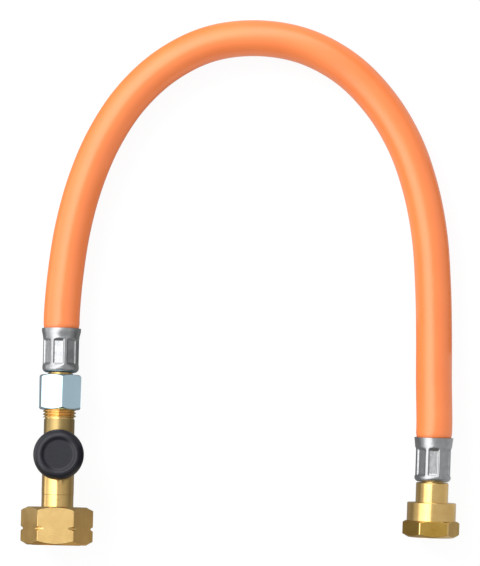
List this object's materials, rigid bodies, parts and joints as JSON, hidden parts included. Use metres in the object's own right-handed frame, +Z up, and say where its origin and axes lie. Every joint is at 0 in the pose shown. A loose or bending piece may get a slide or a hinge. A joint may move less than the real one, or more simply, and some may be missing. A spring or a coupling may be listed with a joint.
{
  "type": "flexible gas hose",
  "caption": "Flexible rubber gas hose that lies in a wide arch, with a bottle nut, an excess flow valve with a push button, and a regulator nut.",
  "frame": {"origin": "on the surface that the hose lies on, under the middle of the box round the two fittings without the hose", "axes": "+Z up from the surface, +Y from the fittings towards the top of the hose's arch, +X from the bottle side to the regulator side"},
  "size_m": [0.2105, 0.2525, 0.0373],
  "materials": {
    "brass": "machined",
    "zinc": "bright zinc plated",
    "blue_zinc": "blue passivated zinc plate",
    "steel": "plain",
    "black_rubber": "matte",
    "black_plastic": "satin",
    "orange_rubber": "semi matte"
  },
  "bodies": {
    "hose_assembly": {"bottle_nipple": "brass", "bottle_seal": "black_rubber", "valve_body": "brass", "poppet_retainer": "steel", "poppet_spring": "steel", "button_gland": "brass", "stem_seal": "black_rubber", "button_spring": "steel", "cap_nut": "blue_zinc", "cutting_ring": "steel", "left_hose_tail": "brass", "left_ferrule": "zinc", "hose": "orange_rubber", "right_ferrule": "zinc", "right_hose_tail": "brass", "regulator_seal": "black_rubber"},
    "bottle_nut": {"bottle_nut": "brass"},
    "regulator_nut": {"regulator_nut": "brass"},
    "button": {"button_cap": "black_plastic", "button_stem": "steel", "stem_clip": "steel"},
    "poppet": {"poppet": "brass", "poppet_seal": "black_rubber"}
  },
  "joints": [
    {"name": "bottle_nut_swivel", "type": "hinge", "parent": "hose_assembly", "child": "bottle_nut", "pos_m": [-0.08797, -0.05161, 0.01612], "axis": [0.0209, 0.9977, -0.0649], "continuous": true},
    {"name": "regulator_nut_swivel", "type": "hinge", "parent": "hose_assembly", "child": "regulator_nut", "pos_m": [0.09124, -0.04806, 0.01258], "axis": [0.0349, 0.9991, -0.0223], "continuous": true},
    {"name": "button_press", "type": "slide", "parent": "hose_assembly", "child": "button", "axis": [-0.0467, -0.0639, -0.9969], "range_m": [0, 0.0026], "stiffness_N_per_m": 1200, "springref_m": -0.003, "deforming": ["button_spring"]},
    {"name": "poppet_slide", "type": "slide", "parent": "hose_assembly", "child": "poppet", "axis": [0.0209, 0.9977, -0.0649], "range_m": [0, 0.0018], "stiffness_N_per_m": 200, "springref_m": -0.002, "deforming": ["poppet_spring"]}
  ]
}
